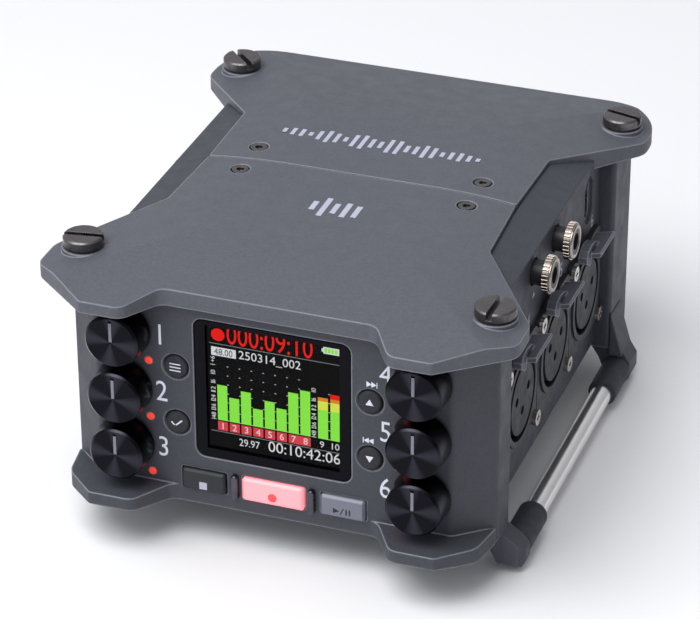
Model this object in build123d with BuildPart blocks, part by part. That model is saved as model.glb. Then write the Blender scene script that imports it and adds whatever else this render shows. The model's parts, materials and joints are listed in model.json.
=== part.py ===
import os

from build123d import *

# Portable field recorder: a box of cast frames and covers with six locking inputs.
# X runs to the right, Y to the back and Z up. The origin is on the resting surface,
# under the middle of the whole body.

# ---------------------------------------------------------------- driving dimensions (mm)
overall_width = 100.0  # across the corner wings
overall_depth = 119.3  # front wings to rear edge of the top cover
wing_reach = 10.3  # front wings stand this far ahead of the control panel
rear_lip = 2.0  # top cover overhang behind the rear panel
row_z = 34.7  # height of the middle row of knobs above the resting surface

front_y = -overall_depth / 2 + wing_reach  # face of the control panel
body_depth = overall_depth - wing_reach - rear_lip  # control panel face to rear panel face

# Heights are measured from the middle knob row, depths from the control panel face.
base = -25.1  # underside of the body
lip = 21.0  # underside of the top covers, top of the frames
crown = 27.2  # highest part of the top covers
wall = 3.0  # control panel and rear panel thickness

frame_half = 45.0  # half width across the corner pillars
face_half = 37.5  # half width of the flat front and rear faces
chamfer_run = 6.3  # depth taken by the pillar chamfers
pillar_front = 14.4  # front pillars end here
pillar_rear = 87.9  # rear pillars begin here
side_x = 41.6  # outer face of the side panels
side_wall = 2.0
base_wall = 2.0
base_chamfer = (1.1, 1.6)  # lower side edges of the body, across and up
shoulder_z = 23.1  # bend between the side wall and its sloping shoulder
waist_x = 34.6  # half width of the top covers at the waist
seam_y = 52.0  # joint between the two top covers
seam_gap = 0.45

crown_flat_x = 16.0  # half width of the level part of the crown
crown_flat_y = (25.6, 78.4)  # level part of the crown, front to back
crown_bend = 140.0  # radius of the soft bend beside the level part
crown_fall = 8.0  # slope of the crown's flanks, degrees

corner_front = (43.2, 8.3)  # corner screws, front pair
corner_rear = (43.6, 96.5)  # corner screws, rear pair
corner_seat = 25.3  # top of the bosses under the corner screws
boss_r = 4.45
corner_head_r = 4.15
corner_head_h = 2.5
corner_shank_r = 1.0
cover_screw_x = 24.7
cover_screw_rows = (47.0, 57.8)

knob_x = 31.5
knob_pitch = 13.0
knob_reach = 6.6  # knob faces stand this far ahead of the panel
knob_base_r = 6.1
knob_face_r = 5.25
spindle_r = 1.5
running_gap = 0.05

glass_w = 33.0
glass_h = 31.6
glass_z = 2.2
glass_t = 1.2
window_w = 30.0
window_h = 29.0
window_z = 2.5

round_button_x = 20.5
round_button_r = 2.5
round_button_rows = (6.1, -6.8)
button_gap = 0.15
button_z = -19.3
stop_size = (9.5, 4.8)
record_size = (13.2, 5.2)
stop_x = 14.9
lamp_x = 26.3
lamp_r = 0.8
lamp_drop = 6.5  # lamps sit this far below their knob row

socket_first = 28.8  # first input socket, from the panel
socket_pitch = 23.1
socket_z = -5.0
socket_barrel_r = 9.8
socket_slot_r = 8.9
socket_insert_r = 7.6
socket_depth = 19.6
flange_w = 22.8
flange_h = 23.6
flange_t = 1.0
socket_screw = 10.05
latch_half = 5.2
latch_t = 0.8

jack_bore_r = 1.78
jack_length = 14.0
jack_z = 18.6
jack_front = 39.4
jack_rear = 54.5
jack_reach = 4.3  # jack barrels stand this far out of the side
collar_start = 2.6
phones_z = 13.6
phones_reach = 3.0

tray_w = 33.6
tray_h = 31.0
tray_front = 50.5
tray_mid = -6.1
cell_r = 7.1
cell_length = 50.5
cell_offset = 7.6

rod_x = 46.55
rod_z = -30.3
rod_start = 11.5
rod_end = 94.0
rod_r = 2.3
sleeve_r = 3.1
sleeve_front = 15.0
sleeve_rear = 77.2
sleeve_length = 11.7
bracket_front = 10.0
bracket_rear = 89.1
bracket_rear_t = 6.0
rest_z = -row_z  # resting surface

tripod_r = 2.55  # wall radius of the quarter-inch tripod thread
tripod_y = 34.0


# ---------------------------------------------------------------- planes and saving
def front_plane(depth):
    """Faces the user, at a depth behind the control panel face; local axes are X and Z."""
    return Plane(origin=(0, front_y + depth, row_z), x_dir=(1, 0, 0), z_dir=(0, -1, 0))


def side_plane(side, x):
    """Faces outward on the right (+1) or left (-1); local X is side * depth."""
    return Plane(origin=(side * x, front_y, row_z), x_dir=(0, side, 0), z_dir=(side, 0, 0))


def level_plane(z):
    """Faces up at a height; local axes are X and depth."""
    return Plane(origin=(0, front_y, row_z + z), x_dir=(1, 0, 0), z_dir=(0, 0, 1))


os.makedirs("parts", exist_ok=True)


def save(piece, name):
    piece.part.label = name
    export_step(piece.part, f"parts/{name}.step")


# ---------------------------------------------------------------- top covers
front_outline = [
    (0, -rear_lip),
    (22.4, -rear_lip),
    (27.6, -wing_reach),
    (36.3, -wing_reach),
    (overall_width / 2, 1.0),
    (overall_width / 2, 9.2),
    (waist_x, 31.6),
    (33.7, seam_y - seam_gap / 2),
    (0, seam_y - seam_gap / 2),
]
front_rounds = [3.0, 3.0, 1.2, 4.0, 4.0, 2.0, 0.5]
rear_outline = [
    (0, seam_y + seam_gap / 2),
    (33.7, seam_y + seam_gap / 2),
    (34.2, 73.8),
    (overall_width / 2, 92.5),
    (overall_width / 2, body_depth + rear_lip),
    (0, body_depth + rear_lip),
]
rear_rounds = [0.5, 2.0, 5.0, 13.0]

with BuildPart() as crown_form:
    with BuildSketch(front_plane(0)):
        with BuildLine():
            top_run = Line((0, crown), (crown_flat_x, crown))
            bend = JernArc(start=top_run @ 1, tangent=top_run % 1, radius=crown_bend, arc_size=-crown_fall)
            flank = PolarLine(bend @ 1, 40, angle=-crown_fall)
            Polyline(flank @ 1, ((flank @ 1).X, 0), (0, 0))
            mirror(about=Plane.YZ)
        make_face()
    extrude(amount=overall_depth * 2, both=True)
    with BuildSketch(Plane(origin=(0, front_y, row_z), x_dir=(0, 1, 0), z_dir=(1, 0, 0))):
        with BuildLine():
            level = Line((crown_flat_y[0], crown), (crown_flat_y[1], crown))
            back_bend = JernArc(start=level @ 1, tangent=level % 1, radius=crown_bend, arc_size=-crown_fall)
            back_flank = PolarLine(back_bend @ 1, 40, angle=-crown_fall)
            fore_bend = JernArc(start=level @ 0, tangent=(-1, 0), radius=crown_bend, arc_size=crown_fall)
            fore_flank = PolarLine(fore_bend @ 1, 40, angle=180 + crown_fall)
            Polyline(back_flank @ 1, ((back_flank @ 1).X, 0), ((fore_flank @ 1).X, 0), fore_flank @ 1)
        make_face()
    extrude(amount=overall_width, both=True, mode=Mode.INTERSECT)


def cover(outline, rounds, corner, pocket, screw_row):
    """A crowned top cover with bosses for its two corner screws and a hollow underside."""
    with BuildPart() as piece:
        with BuildSketch(level_plane(lip)):
            with BuildLine():
                FilletPolyline(outline, radius=rounds)
                mirror(about=Plane.YZ)
            make_face()
        extrude(amount=crown - lip + 1)
        add(crown_form.part, mode=Mode.INTERSECT)
        with BuildSketch(level_plane(corner_seat)):
            with Locations((-corner[0], corner[1]), corner):
                Circle(boss_r)
        extrude(amount=crown - corner_seat + 1, mode=Mode.SUBTRACT)
        with BuildSketch(level_plane(lip)):
            with Locations((-corner[0], corner[1]), corner):
                Circle(boss_r)
        extrude(amount=corner_seat - lip)
        with BuildSketch(level_plane(lip)):
            with Locations((-corner[0], corner[1]), corner):
                Circle(corner_shank_r)
        extrude(amount=crown - lip + 1, mode=Mode.SUBTRACT)
        with BuildSketch(level_plane(lip)):
            with Locations((0, (pocket[0] + pocket[1]) / 2)):
                RectangleRounded(60.0, pocket[1] - pocket[0], 3.0)
            with Locations((-cover_screw_x, screw_row), (cover_screw_x, screw_row)):
                Circle(3.4, mode=Mode.SUBTRACT)
        extrude(amount=3.2, mode=Mode.SUBTRACT)
        with BuildSketch(level_plane(lip)):
            with Locations((-cover_screw_x, screw_row), (cover_screw_x, screw_row)):
                Circle(1.1)
        extrude(amount=crown - lip + 1, mode=Mode.SUBTRACT)
        with BuildSketch(level_plane(crown - 1.3)):
            with Locations((-cover_screw_x, screw_row), (cover_screw_x, screw_row)):
                Circle(2.1)
        extrude(amount=2, mode=Mode.SUBTRACT)
    return piece


top_cover_front = cover(front_outline, front_rounds, corner_front, (5.0, 50.0), cover_screw_rows[0])
save(top_cover_front, "top_cover_front")
top_cover_rear = cover(rear_outline, rear_rounds, corner_rear, (54.0, 100.5), cover_screw_rows[1])
save(top_cover_rear, "top_cover_rear")

with BuildPart() as corner_screws:
    for (x, y), turn in (
        ((-corner_front[0], corner_front[1]), 10),
        (corner_front, 88),
        ((-corner_rear[0], corner_rear[1]), -45),
        (corner_rear, -15),
    ):
        with BuildSketch(level_plane(corner_seat)):
            with Locations((x, y)):
                Circle(corner_head_r - 0.45)
        extrude(amount=0.5)
        with BuildSketch(level_plane(corner_seat + 0.5)):
            with Locations((x, y)):
                Circle(corner_head_r)
        extrude(amount=corner_head_h - 0.5)
        with BuildSketch(level_plane(corner_seat)):
            with Locations((x, y)):
                Circle(corner_shank_r)
        extrude(amount=-12)
        with BuildSketch(level_plane(corner_seat + corner_head_h)):
            with Locations(Location((x, y), turn)):
                Rectangle(2 * corner_head_r + 2, 1.25)
        extrude(amount=-1.5, mode=Mode.SUBTRACT)
    chamfer(corner_screws.edges().filter_by(GeomType.CIRCLE).group_by(Axis.Z)[-1], length=0.35)
save(corner_screws, "corner_screws")

with BuildPart() as cover_screws:
    for row in cover_screw_rows:
        with BuildSketch(level_plane(crown - 1.3)):
            with Locations((-cover_screw_x, row), (cover_screw_x, row)):
                Circle(1.75)
        extrude(amount=1.0)
        with BuildSketch(level_plane(crown - 1.3)):
            with Locations((-cover_screw_x, row), (cover_screw_x, row)):
                Circle(1.0)
        extrude(amount=-(crown - 1.3 - lip) - 1.6)
        with BuildSketch(level_plane(crown - 0.3)):
            with Locations((-cover_screw_x, row), (cover_screw_x, row)):
                Circle(0.8)
        extrude(amount=-0.7, mode=Mode.SUBTRACT)
save(cover_screws, "cover_screws")


# ---------------------------------------------------------------- front frame
def base_block_places(front):
    """Screw blocks inside the frames' lower corners, which hold the bottom cover."""
    depth = 6.2 if front else body_depth - 6.2
    return [(-34.0, depth), (34.0, depth)]


knob_rows = (knob_pitch, 0.0, -knob_pitch)
knob_places = [(side * knob_x, row) for side in (-1, 1) for row in knob_rows]
round_places = [(side * round_button_x, row) for side in (-1, 1) for row in round_button_rows]
lamp_places = [(side * lamp_x, row - lamp_drop) for side in (-1, 1) for row in knob_rows]

with BuildPart() as front_frame:
    with BuildSketch(level_plane(base)):
        with BuildLine():
            FilletPolyline(
                [
                    (0, 0),
                    (face_half, 0),
                    (frame_half, chamfer_run),
                    (frame_half, pillar_front),
                    (side_x - side_wall, pillar_front),
                    (side_x - side_wall, 9.5),
                    (36.8, wall),
                    (0, wall),
                ],
                radius=[2.0, 1.5, 0.5, 0.5, 1.0, 0.5],
            )
            mirror(about=Plane.YZ)
        make_face()
    extrude(amount=lip - base)
    with BuildSketch(level_plane(base)):
        with BuildLine():
            FilletPolyline(
                [
                    (19.5, 1.0),
                    (19.5, 0.0),
                    (22.0, 0.0),
                    (27.4, -8.8),
                    (36.8, -8.8),
                    (43.6, -2.6),
                    (frame_half, 6.0),
                    (38.0, 1.0),
                ],
                radius=[0.3, 3.0, 3.0, 1.2, 5.0, 0.2],
            )
            Line((38.0, 1.0), (19.5, 1.0))
        make_face()
        mirror(about=Plane.YZ)
    extrude(amount=3.6)
    with BuildSketch(Plane(origin=(0, front_y, row_z), x_dir=(0, 1, 0), z_dir=(1, 0, 0))):
        with BuildLine():
            Polyline((-14, base - 1), (0, base - 1), (0, base), (-14, base + 1.3), close=True)
        make_face()
    extrude(amount=overall_width, both=True, mode=Mode.SUBTRACT)
    with BuildSketch(front_plane(0)):
        with Locations((0, glass_z)):
            RectangleRounded(glass_w + 0.2, glass_h + 0.2, 2.1)
    extrude(amount=-glass_t - 0.2, mode=Mode.SUBTRACT)
    with BuildSketch(front_plane(0)):
        with Locations((0, window_z)):
            RectangleRounded(window_w, window_h, 1.0)
        with Locations(*knob_places):
            Circle(3.0)
        with Locations(*round_places):
            Circle(round_button_r + button_gap)
        with Locations(*lamp_places):
            Circle(lamp_r)
        with Locations((-stop_x, button_z), (stop_x, button_z)):
            RectangleRounded(stop_size[0] + 2 * button_gap, stop_size[1] + 2 * button_gap, 0.5)
        with Locations((0, button_z)):
            RectangleRounded(record_size[0] + 2 * button_gap, record_size[1] + 2 * button_gap, 0.5)
    extrude(amount=-wall - 1, mode=Mode.SUBTRACT)
    with BuildSketch(level_plane(lip)):
        with Locations((-corner_front[0], corner_front[1]), corner_front):
            Circle(corner_shank_r)
    extrude(amount=-9, mode=Mode.SUBTRACT)
    with BuildSketch(level_plane(base + 2.0)):
        with Locations(*base_block_places(front=True)):
            Rectangle(7.0, 6.0)
    extrude(amount=5.0)
    with BuildSketch(level_plane(base + 2.0)):
        with Locations(*base_block_places(front=True)):
            Circle(1.0)
    extrude(amount=4.0, mode=Mode.SUBTRACT)
    round_rims = front_frame.edges().filter_by(GeomType.CIRCLE).filter_by(
        lambda rim: abs(rim.radius - round_button_r - button_gap) < 0.01 and abs(rim.arc_center.Y - front_y) < 0.01
    )
    chamfer(round_rims, length=0.35)
save(front_frame, "front_frame")


# ---------------------------------------------------------------- rear frame
with BuildPart() as rear_frame:
    with BuildSketch(level_plane(base)):
        with BuildLine():
            FilletPolyline(
                [
                    (0, body_depth),
                    (face_half, body_depth),
                    (frame_half, body_depth - chamfer_run),
                    (frame_half, pillar_rear),
                    (side_x - side_wall, pillar_rear),
                    (side_x - side_wall, 98.0),
                    (36.8, body_depth - wall),
                    (0, body_depth - wall),
                ],
                radius=[2.0, 1.5, 1.0, 0.5, 1.0, 0.5],
            )
            mirror(about=Plane.YZ)
        make_face()
    extrude(amount=lip - base)
    with BuildSketch(front_plane(body_depth)):
        with Locations((0, tray_mid)):
            RectangleRounded(tray_w + 0.4, tray_h + 0.4, 1.2)
    extrude(amount=wall + 1, mode=Mode.SUBTRACT)
    with BuildSketch(level_plane(lip)):
        with Locations((-corner_rear[0], corner_rear[1]), corner_rear):
            Circle(corner_shank_r)
    extrude(amount=-9, mode=Mode.SUBTRACT)
    with BuildSketch(level_plane(base + 2.0)):
        with Locations(*base_block_places(front=False)):
            Rectangle(7.0, 6.0)
    extrude(amount=5.0)
    with BuildSketch(level_plane(base + 2.0)):
        with Locations(*base_block_places(front=False)):
            Circle(1.0)
    extrude(amount=4.0, mode=Mode.SUBTRACT)
save(rear_frame, "rear_frame")


# ---------------------------------------------------------------- side panels
socket_places = [socket_first + socket_pitch * index for index in range(3)]
slider_y = 24.0
slider_z = 16.5
card_y = 74.0
card_z = 16.0
usb_y = 79.0
usb_z = 15.2


def socket_screw_places(side):
    """Two screws hold each input socket: upper front and lower rear."""
    upper = [(side * (y - socket_screw), socket_z + socket_screw) for y in socket_places]
    lower = [(side * (y + socket_screw), socket_z - socket_screw) for y in socket_places]
    return upper + lower


def side_panel(side):
    """A wall with three input openings and a shoulder that meets the top covers."""
    section = [
        (side * side_x, base + 2.0),
        (side * side_x, shoulder_z),
        (side * 34.0, 25.2),
        (side * 34.0, shoulder_z),
        (side * (side_x - side_wall), 21.5),
        (side * (side_x - side_wall), base + 2.0),
    ]
    with BuildPart() as piece:
        with BuildSketch(front_plane(pillar_front)):
            with BuildLine():
                Polyline(section, close=True)
            make_face()
        extrude(amount=-(pillar_rear - pillar_front))
        for outline, rounds in ((front_outline, front_rounds), (rear_outline, rear_rounds)):
            with BuildSketch(level_plane(lip)) as footprint:
                with BuildLine():
                    FilletPolyline(outline, radius=rounds)
                    mirror(about=Plane.YZ)
                make_face()
                offset(amount=0.15)
            extrude(amount=10, mode=Mode.SUBTRACT)
        with BuildSketch(level_plane(lip)):
            with Locations((side * cover_screw_x, sum(cover_screw_rows) / 2)):
                Rectangle(5.4, 16.0)
            with Locations((side * (side_x - side_wall + cover_screw_x) / 2, cover_screw_rows[0])):
                Rectangle(side_x - side_wall - cover_screw_x, 4.0)
        extrude(amount=-1.6)
        with BuildSketch(level_plane(lip)):
            with Locations(*[(side * cover_screw_x, row) for row in cover_screw_rows]):
                Circle(1.0)
        extrude(amount=-2, mode=Mode.SUBTRACT)
        with BuildSketch(side_plane(side, side_x)):
            with Locations(*[(side * y, socket_z) for y in socket_places]):
                Circle(socket_barrel_r + 0.1)
            with Locations(*[(side * y, socket_z + 10.0) for y in socket_places]):
                Rectangle(7.2, 3.0)
            with Locations(*socket_screw_places(side)):
                Circle(1.0)
            if side > 0:
                with Locations((jack_front, jack_z), (jack_rear, jack_z)):
                    Circle(2.95)
                with Locations((usb_y, usb_z)):
                    Rectangle(3.4, 9.2)
            else:
                with Locations((-jack_rear, jack_z)):
                    Circle(2.75)
                with Locations((-jack_front, phones_z)):
                    Circle(spindle_r + running_gap)
                with Locations((-slider_y, slider_z)):
                    Rectangle(9.0, 2.6)
                with Locations((-card_y, card_z)):
                    Rectangle(15.0, 3.4)
        extrude(amount=-side_wall - 0.5, mode=Mode.SUBTRACT)
        if side > 0:
            with BuildSketch(side_plane(side, side_x)):
                with BuildLine():
                    Polyline(
                        (usb_y - 2.9, usb_z - 3.4),
                        (usb_y - 1.2, usb_z - 5.4),
                        (usb_y + 1.2, usb_z - 5.4),
                        (usb_y + 2.9, usb_z - 3.4),
                        (usb_y + 2.9, usb_z + 3.4),
                        (usb_y + 1.2, usb_z + 5.4),
                        (usb_y - 1.2, usb_z + 5.4),
                        (usb_y - 2.9, usb_z + 3.4),
                        close=True,
                    )
                make_face()
            extrude(amount=-0.6, mode=Mode.SUBTRACT)
    return piece


save(side_panel(1), "side_panel_right")
save(side_panel(-1), "side_panel_left")


# ---------------------------------------------------------------- bottom cover
with BuildPart() as bottom_cover:
    with BuildSketch(level_plane(base)):
        with Locations((0, body_depth / 2)):
            Rectangle(2 * (side_x - side_wall) - 6.0, body_depth - 2 * wall)
    extrude(amount=base_wall)
    with BuildSketch(front_plane(pillar_front)):
        with BuildLine():
            Polyline(
                (0, base),
                (side_x - base_chamfer[0], base),
                (side_x, base + base_chamfer[1]),
                (side_x, base + base_wall),
                (0, base + base_wall),
            )
            mirror(about=Plane.YZ)
        make_face()
    extrude(amount=-(pillar_rear - pillar_front))
    with BuildSketch(level_plane(base)):
        with Locations((0, tripod_y)):
            Circle(5.0)
        with Locations(*base_block_places(front=True), *base_block_places(front=False)):
            Circle(1.1)
    extrude(amount=base_wall, mode=Mode.SUBTRACT)
    with BuildSketch(level_plane(base)):
        with Locations(*base_block_places(front=True), *base_block_places(front=False)):
            Circle(2.0)
    extrude(amount=0.8, mode=Mode.SUBTRACT)
save(bottom_cover, "bottom_cover")

with BuildPart() as base_screws:
    with BuildSketch(level_plane(base + 0.1)):
        with Locations(*base_block_places(front=True), *base_block_places(front=False)):
            Circle(1.9)
    extrude(amount=0.7)
    with BuildSketch(level_plane(base + 0.8)):
        with Locations(*base_block_places(front=True), *base_block_places(front=False)):
            Circle(1.0)
    extrude(amount=5.0)
    with BuildSketch(level_plane(base + 0.1)):
        with Locations(*base_block_places(front=True), *base_block_places(front=False)):
            Rectangle(2.2, 0.5)
            Rectangle(0.5, 2.2)
    extrude(amount=0.4, mode=Mode.SUBTRACT)
save(base_screws, "base_screws")

with BuildPart() as tripod_bush:
    with BuildSketch(level_plane(base)):
        with Locations((0, tripod_y)):
            Circle(5.0)
    extrude(amount=2.0)
    with BuildSketch(level_plane(base + 2.0)):
        with Locations((0, tripod_y)):
            Circle(7.0)
    extrude(amount=5.0)
    with BuildSketch(level_plane(base)):
        with Locations((0, tripod_y)):
            Circle(tripod_r)
    extrude(amount=6.0, mode=Mode.SUBTRACT)
save(tripod_bush, "tripod_bush")


# ---------------------------------------------------------------- display
with BuildPart() as display_window:
    with BuildSketch(front_plane(0.1)):
        with Locations((0, glass_z)):
            RectangleRounded(glass_w, glass_h, 2.0)
    extrude(amount=-glass_t)
    chamfer(display_window.faces().sort_by(Axis.Y)[0].edges(), length=0.2)
save(display_window, "display_window")

with BuildPart() as display_module:
    with BuildSketch(front_plane(wall + 0.05)):
        with Locations((0, window_z)):
            Rectangle(window_w + 1.2, window_h + 1.0)
    extrude(amount=-3.1)
save(display_module, "display_module")


# ---------------------------------------------------------------- knobs and their controls
def knob(place):
    """A turned knob with a pointer slot; its spindle runs in the control behind the panel."""
    x, z = place
    centre = (x, front_y, row_z + z)
    with BuildPart() as piece:
        with BuildSketch(Plane(origin=centre, x_dir=(0, 1, 0), z_dir=(1, 0, 0))):
            with BuildLine():
                Polyline(
                    (7.3, 0),
                    (7.3, spindle_r),
                    (-0.7, spindle_r),
                    (-0.7, knob_base_r),
                    (-knob_reach + 0.5, knob_face_r + 0.5),
                    (-knob_reach, knob_face_r),
                    (-knob_reach, 0),
                    close=True,
                )
            make_face()
        revolve(axis=Axis(centre, (0, 1, 0)))
        with BuildSketch(front_plane(-knob_reach)):
            with Locations((x, z + 2.9)):
                Rectangle(0.7, 4.2)
        extrude(amount=-0.3, mode=Mode.SUBTRACT)
    return piece


for number, place in enumerate(knob_places, start=1):
    save(knob(place), f"knob_{number}")

with BuildPart() as gain_controls:
    with BuildSketch(front_plane(wall + 0.1)):
        with Locations(*knob_places):
            Rectangle(9.0, 9.0)
    extrude(amount=-5.3)
    with BuildSketch(front_plane(0.2)):
        with Locations(*knob_places):
            Circle(2.95)
    extrude(amount=-wall)
    with BuildSketch(front_plane(0)):
        with Locations(*knob_places):
            Circle(spindle_r + running_gap)
    extrude(amount=-10, mode=Mode.SUBTRACT)
save(gain_controls, "gain_controls")


# ---------------------------------------------------------------- buttons
def round_button(place):
    with BuildPart() as piece:
        with BuildSketch(front_plane(-0.35)):
            with Locations(place):
                Circle(round_button_r)
        extrude(amount=-wall - 0.5)
        fillet(piece.faces().sort_by(Axis.Y)[0].edges(), radius=0.6)
        with BuildSketch(front_plane(wall + 0.15)):
            with Locations(place):
                Circle(round_button_r + 0.7)
        extrude(amount=-0.75)
        with BuildSketch(front_plane(wall + 0.9)):
            with Locations(place):
                Circle(1.2)
        extrude(amount=-1.9)
    return piece


def bar_button(place, size, reach):
    with BuildPart() as piece:
        with BuildSketch(front_plane(-reach)):
            with Locations(place):
                RectangleRounded(*size, 0.7)
        extrude(amount=-wall - reach - 0.15)
        chamfer(piece.faces().sort_by(Axis.Y)[0].edges(), length=0.5)
        with BuildSketch(front_plane(wall + 0.15)):
            with Locations(place):
                Rectangle(size[0] + 1.2, size[1] + 1.2)
        extrude(amount=-0.75)
        with BuildSketch(front_plane(wall + 0.9)):
            with Locations(place):
                Circle(1.2)
        extrude(amount=-1.9)
    return piece


for name, place in zip(("menu_button", "enter_button", "up_button", "down_button"), round_places):
    save(round_button(place), name)
save(bar_button((-stop_x, button_z), stop_size, 1.0), "stop_button")
save(bar_button((0, button_z), record_size, 0.9), "record_button")
save(bar_button((stop_x, button_z), stop_size, 1.0), "play_button")

button_places = round_places + [(-stop_x, button_z), (0, button_z), (stop_x, button_z)]
with BuildPart() as keypad_mat:
    with BuildSketch(front_plane(7.7)):
        with Locations((0, -6.2)):
            Rectangle(48.0, 32.0)
    extrude(amount=-0.8)
    with BuildSketch(front_plane(7.7)):
        with Locations(*button_places):
            Circle(2.0)
    extrude(amount=1.3)
save(keypad_mat, "keypad_mat")

with BuildPart() as record_guards:
    with BuildSketch(front_plane(0)):
        with Locations((-8.2, button_z), (8.2, button_z)):
            RectangleRounded(1.5, 5.6, 0.7)
    extrude(amount=1.3)
    fillet(record_guards.faces().filter_by(Axis.Y).group_by(Axis.Y)[0].edges(), radius=0.4)
save(record_guards, "record_guards")

with BuildPart() as level_lamps:
    with BuildSketch(front_plane(-0.25)):
        with Locations(*lamp_places):
            Circle(lamp_r)
    extrude(amount=-wall - 0.25)
    fillet(level_lamps.faces().filter_by(Axis.Y).group_by(Axis.Y)[0].edges(), radius=0.3)
    with BuildSketch(front_plane(wall)):
        with Locations(*lamp_places):
            Circle(1.2)
    extrude(amount=-0.8)
save(level_lamps, "level_lamps")


# ---------------------------------------------------------------- circuit boards
with BuildPart() as front_board:
    with BuildSketch(front_plane(8.6)):
        with Locations((0, 1.6)):
            Rectangle(68.0, 36.4)
        with Locations((0, -1.2)):
            Rectangle(57.0, 42.0)
    extrude(amount=-1.6)
save(front_board, "front_board")

with BuildPart() as main_board:
    with BuildSketch(level_plane(11.2)):
        with Locations((0, 57.0)):
            Rectangle(66.0, 90.0)
    extrude(amount=1.6)
    with BuildSketch(level_plane(12.8)):
        with Locations((0, 34.0), (-14.0, 70.0), (13.0, 74.0)):
            Rectangle(14.0, 14.0)
        with Locations((0, 56.0), (18.0, 52.0), (-18.0, 40.0)):
            Rectangle(8.0, 6.0)
    extrude(amount=1.4)
save(main_board, "main_board")


# ---------------------------------------------------------------- input sockets
def socket_shell(side, y):
    centre = (side * y, socket_z)
    with BuildPart() as piece:
        with BuildSketch(side_plane(side, side_x)):
            with Locations(centre):
                RectangleRounded(flange_w, flange_h, 2.5)
        extrude(amount=flange_t)
        with BuildSketch(side_plane(side, side_x)):
            with Locations(centre):
                Circle(socket_barrel_r)
        extrude(amount=-socket_depth)
        with BuildSketch(side_plane(side, side_x)):
            with Locations(centre):
                Circle(socket_barrel_r + 0.4)
        extrude(amount=flange_t + 0.4)
        with BuildSketch(side_plane(side, side_x + flange_t + 0.4)):
            with Locations(centre):
                Circle(socket_slot_r)
        extrude(amount=-12.0, mode=Mode.SUBTRACT)
        with BuildSketch(side_plane(side, side_x + flange_t + 0.4)):
            with Locations((side * y, socket_z + 9.9)):
                Rectangle(5.6, 2.1)
        extrude(amount=-8.0, mode=Mode.SUBTRACT)
        with BuildSketch(side_plane(side, side_x + flange_t)):
            with Locations(
                (side * (y - socket_screw), socket_z + socket_screw),
                (side * (y + socket_screw), socket_z - socket_screw),
            ):
                Circle(1.0)
        extrude(amount=-flange_t, mode=Mode.SUBTRACT)
    return piece


def socket_latch(side, y):
    """A bent sheet latch: a hood over the front of the socket, a push tongue and a hook inside."""
    front = side_x + flange_t + 0.5
    with BuildPart() as piece:
        with BuildSketch(front_plane(y - latch_half)):
            with BuildLine():
                Polyline(
                    (side * front, 4.9),
                    (side * (front + latch_t), 4.9),
                    (side * (front + latch_t), 6.3),
                    (side * (front + 4.1), 7.2),
                    (side * (front + 4.3), 8.0),
                    (side * (front + 4.0), 8.3),
                    (side * front, 7.3),
                    close=True,
                )
            make_face()
        extrude(amount=-2 * latch_half)
        with BuildSketch(side_plane(side, front)):
            with BuildLine():
                Polyline(
                    (side * (y - 8.0), 6.6),
                    (side * (y - 8.1), 8.0),
                    (side * (y - 6.9), 9.1),
                    (side * (y - 4.6), 9.6),
                    (side * (y - 1.6), 9.0),
                    (side * (y + 1.2), 7.4),
                    (side * (y + 1.2), 6.6),
                    (side * (y - 1.8), 8.0),
                    (side * (y - 4.6), 8.5),
                    (side * (y - 5.0), 5.4),
                    (side * (y - 6.0), 5.2),
                    close=True,
                )
            make_face()
        extrude(amount=2.0)
        with BuildSketch(side_plane(side, front)):
            with Locations((side * y, socket_z + 10.4)):
                Rectangle(5.2, latch_t)
        extrude(amount=-6.5)
    return piece


socket_centres = [(side, y) for side in (-1, 1) for y in socket_places]
for number, (side, y) in enumerate(socket_centres, start=1):
    save(socket_shell(side, y), f"input_socket_{number}")
    save(socket_latch(side, y), f"socket_latch_{number}")

with BuildPart() as socket_inserts:
    for side, y in socket_centres:
        with BuildSketch(side_plane(side, side_x + flange_t + 0.4)):
            with Locations((side * y, socket_z)):
                Circle(socket_insert_r)
                with Locations((-3.9, 1.3), (3.9, 1.3), (0, -2.6)):
                    Circle(1.0, mode=Mode.SUBTRACT)
        extrude(amount=-12.0)
save(socket_inserts, "socket_inserts")

with BuildPart() as socket_screws:
    for side in (-1, 1):
        with BuildSketch(side_plane(side, side_x + flange_t)):
            with Locations(*socket_screw_places(side)):
                Circle(1.7)
        extrude(amount=0.9)
        with BuildSketch(side_plane(side, side_x + flange_t)):
            with Locations(*socket_screw_places(side)):
                Circle(1.0)
        extrude(amount=-4.5)
        with BuildSketch(side_plane(side, side_x + flange_t + 0.9)):
            with Locations(*socket_screw_places(side)):
                Rectangle(2.0, 0.5)
                Rectangle(0.5, 2.0)
        extrude(amount=-0.5, mode=Mode.SUBTRACT)
save(socket_screws, "socket_screws")


# ---------------------------------------------------------------- panel jacks
def locking_jack(y):
    with BuildPart() as piece:
        with BuildSketch(side_plane(1, side_x - side_wall)):
            with Locations((y, jack_z - 0.6)):
                Rectangle(7.0, 5.2)
        extrude(amount=-11.5)
        with BuildSketch(side_plane(1, side_x - side_wall)):
            with Locations((y, jack_z)):
                Circle(2.6)
        extrude(amount=side_wall + jack_reach)
        with BuildSketch(side_plane(1, side_x + jack_reach)):
            with Locations((y, jack_z)):
                Circle(jack_bore_r)
        extrude(amount=-jack_length, mode=Mode.SUBTRACT)
    return piece


save(locking_jack(jack_front), "timecode_jack")
save(locking_jack(jack_rear), "line_jack")

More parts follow.
